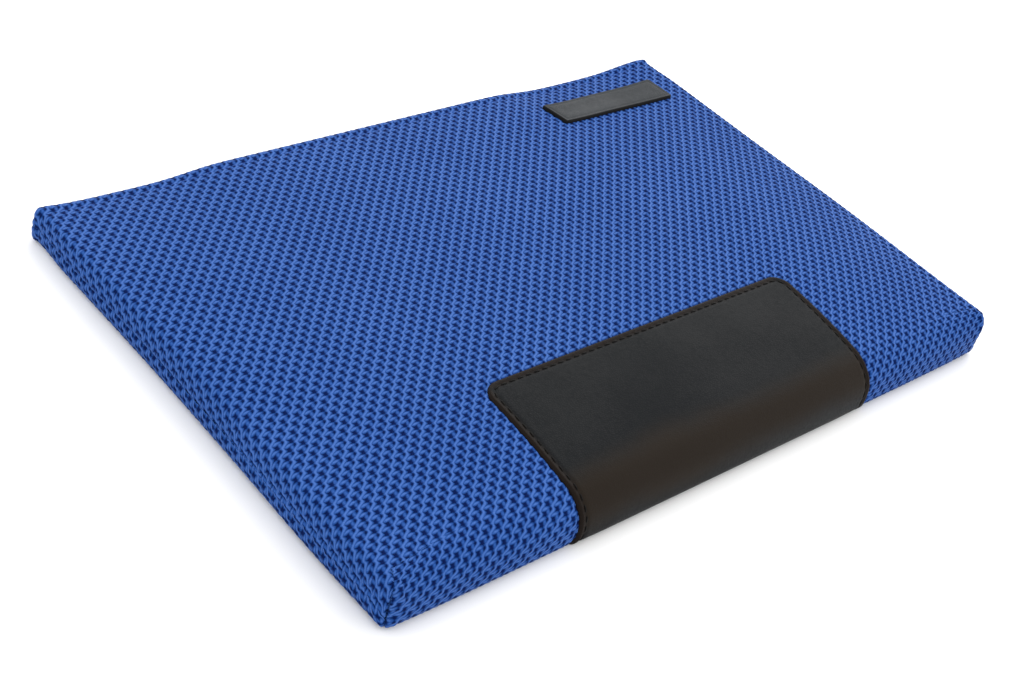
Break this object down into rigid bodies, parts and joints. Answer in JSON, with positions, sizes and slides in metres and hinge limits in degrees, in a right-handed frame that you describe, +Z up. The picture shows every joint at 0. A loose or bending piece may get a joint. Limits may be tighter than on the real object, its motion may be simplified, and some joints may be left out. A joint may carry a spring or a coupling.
{
  "type": "laptop sleeve",
  "caption": "Slip-in padded laptop sleeve, a folded coarse nylon wrap open along one long edge, with a leather patch round the fold and a small leather label.",
  "frame": {"origin": "middle of the sleeve's footprint, on the surface it lies on", "axes": "+X to the right along the long side, +Y from the leather-trimmed fold to the open mouth, +Z up"},
  "size_m": [0.32, 0.212, 0.0254],
  "materials": {
    "blue_nylon": "coarse basket weave, slight sheen",
    "black_leather": "fine grain, soft sheen",
    "grey_leather": "smooth, matt, black cut edge",
    "black_thread": "twisted bonded nylon",
    "blue_thread": "twisted bonded nylon",
    "foam": "closed-cell foam",
    "lining_cloth": "brushed knit",
    "stiff_plastic": "natural sheet",
    "binding_tape": "woven tape"
  },
  "bodies": {
    "root": {"outer_shell": "blue_nylon", "leather_patch": "black_leather", "patch_stitching": "black_thread", "label": "grey_leather", "label_stitching": "black_thread", "mouth_hem_stitching": "blue_thread", "foam_padding": "foam", "lining": "lining_cloth", "stiffener_sheet": "stiff_plastic", "left_seam_binding": "binding_tape", "right_seam_binding": "binding_tape", "left_side_seam_stitching": "blue_thread", "right_side_seam_stitching": "blue_thread", "left_corner_stitching": "blue_thread", "right_corner_stitching": "blue_thread"}
  },
  "joints": []
}
